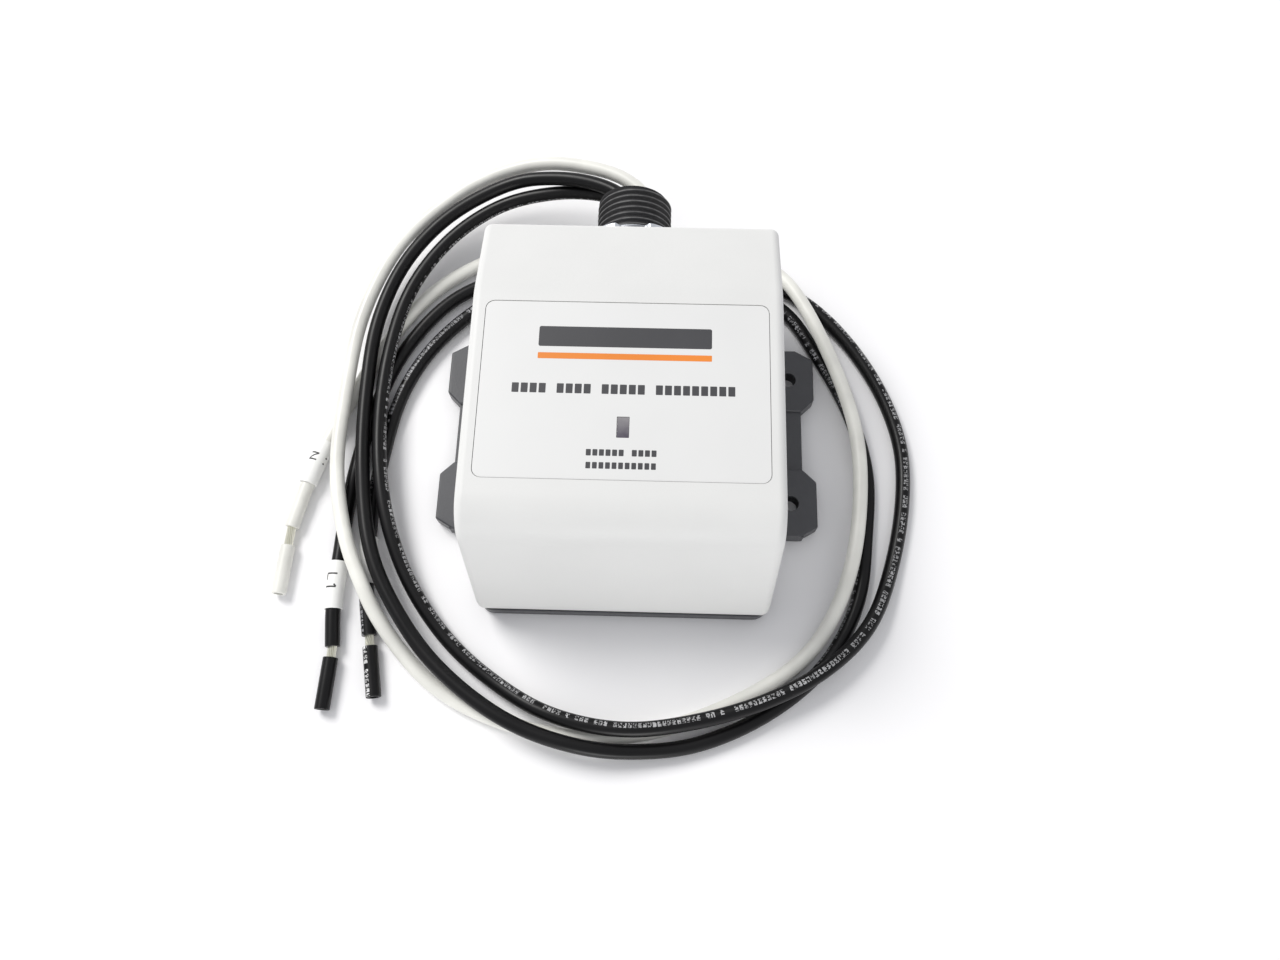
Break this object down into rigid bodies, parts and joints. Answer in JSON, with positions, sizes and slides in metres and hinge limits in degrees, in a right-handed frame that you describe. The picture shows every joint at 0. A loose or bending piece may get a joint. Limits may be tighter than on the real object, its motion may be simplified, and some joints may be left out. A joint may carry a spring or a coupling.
{
  "type": "whole house surge protector",
  "caption": "Hard-wired surge protector: moulded cover on an eared base plate, threaded conduit nipple with locknut, status window and three free wire leads.",
  "frame": {"origin": "centre of the base plate's flat back face", "axes": "+Z out of the front of the cover, +Y towards the threaded nipple, +X to the right"},
  "size_m": [0.1738, 0.1714, 0.0487],
  "materials": {
    "cover_plastic": "fine moulded texture",
    "label_film": "satin printed film",
    "base_plastic": "fine moulded texture",
    "nipple_plastic": "moulded thread, satin",
    "gasket_rubber": "matt",
    "zinc_steel": "bright zinc plate",
    "screw_steel": "zinc plate",
    "window_plastic": "smoked, polished",
    "light_pipe_plastic": "clear, polished",
    "board_laminate": "solder mask",
    "varistor_coating": "dipped epoxy",
    "ceramic_body": "fired ceramic",
    "capacitor_case": "dipped epoxy",
    "diode_body": "moulded epoxy",
    "led_epoxy": "clear tinted",
    "terminal_brass": "plain",
    "black_wire_jacket": "extruded, glossy",
    "white_wire_jacket": "extruded, glossy",
    "sleeve_plastic": "satin",
    "tinned_copper": "fine strands"
  },
  "bodies": {
    "housing": {"bare_strands_l1": "tinned_copper", "bare_strands_l2": "tinned_copper", "bare_strands_n": "tinned_copper", "base_plate": "base_plastic", "board_screw_1": "screw_steel", "board_screw_2": "screw_steel", "board_screw_3": "screw_steel", "board_screw_4": "screw_steel", "circuit_board": "board_laminate", "conduit_nipple": "nipple_plastic", "cover_gasket": "gasket_rubber", "cover_screw_1": "screw_steel", "cover_screw_2": "screw_steel", "cover_screw_3": "screw_steel", "cover_screw_4": "screw_steel", "film_capacitor": "capacitor_case", "front_cover": "cover_plastic", "inner_lead_l1": "black_wire_jacket", "inner_lead_l2": "black_wire_jacket", "inner_lead_n": "white_wire_jacket", "label_panel": "label_film", "lead_l1": "black_wire_jacket", "lead_l2": "black_wire_jacket", "lead_n": "white_wire_jacket", "led_resistor": "ceramic_body", "light_pipe": "light_pipe_plastic", "marker_sleeve_l1": "sleeve_plastic", "marker_sleeve_l2": "sleeve_plastic", "marker_sleeve_n": "sleeve_plastic", "nipple_gasket": "gasket_rubber", "rectifier_diode": "diode_body", "status_led": "led_epoxy", "surge_fuse_1": "ceramic_body", "surge_fuse_2": "ceramic_body", "terminal_l1": "terminal_brass", "terminal_l2": "terminal_brass", "terminal_n": "terminal_brass", "thermal_cutoff_1": "ceramic_body", "thermal_cutoff_2": "ceramic_body", "varistor_1": "varistor_coating", "varistor_2": "varistor_coating", "varistor_3": "varistor_coating", "varistor_4": "varistor_coating", "varistor_5": "varistor_coating", "varistor_6": "varistor_coating", "window_lens": "window_plastic"},
    "washer": {"sealing_washer": "gasket_rubber"},
    "locknut": {"locknut": "zinc_steel"},
    "slug_l1": {"strip_slug_l1": "black_wire_jacket"},
    "slug_l2": {"strip_slug_l2": "black_wire_jacket"},
    "slug_n": {"strip_slug_n": "white_wire_jacket"}
  },
  "joints": [
    {"name": "washer_slide", "type": "slide", "parent": "housing", "child": "washer", "axis": [0, 1, 0], "range_m": [0, 0.0131]},
    {"name": "locknut_turn", "type": "hinge", "parent": "washer", "child": "locknut", "pos_m": [0, 0.0519, 0.02], "axis": [0, 1, 0], "range_deg": [0, 2580]},
    {"name": "slug_l1_pull", "type": "slide", "parent": "housing", "child": "slug_l1", "axis": [-0.04, -0.9992, 0], "range_m": [0, 0.012]},
    {"name": "slug_l2_pull", "type": "slide", "parent": "housing", "child": "slug_l2", "axis": [0.1867, -0.9824, 0], "range_m": [0, 0.012]},
    {"name": "slug_n_pull", "type": "slide", "parent": "housing", "child": "slug_n", "axis": [-0.0499, -0.9988, 0], "range_m": [0, 0.012]}
  ],
  "couplings": [
    {"joint": "washer_slide", "follows": "locknut_turn", "m_per_rad": 0.00028871}
  ]
}
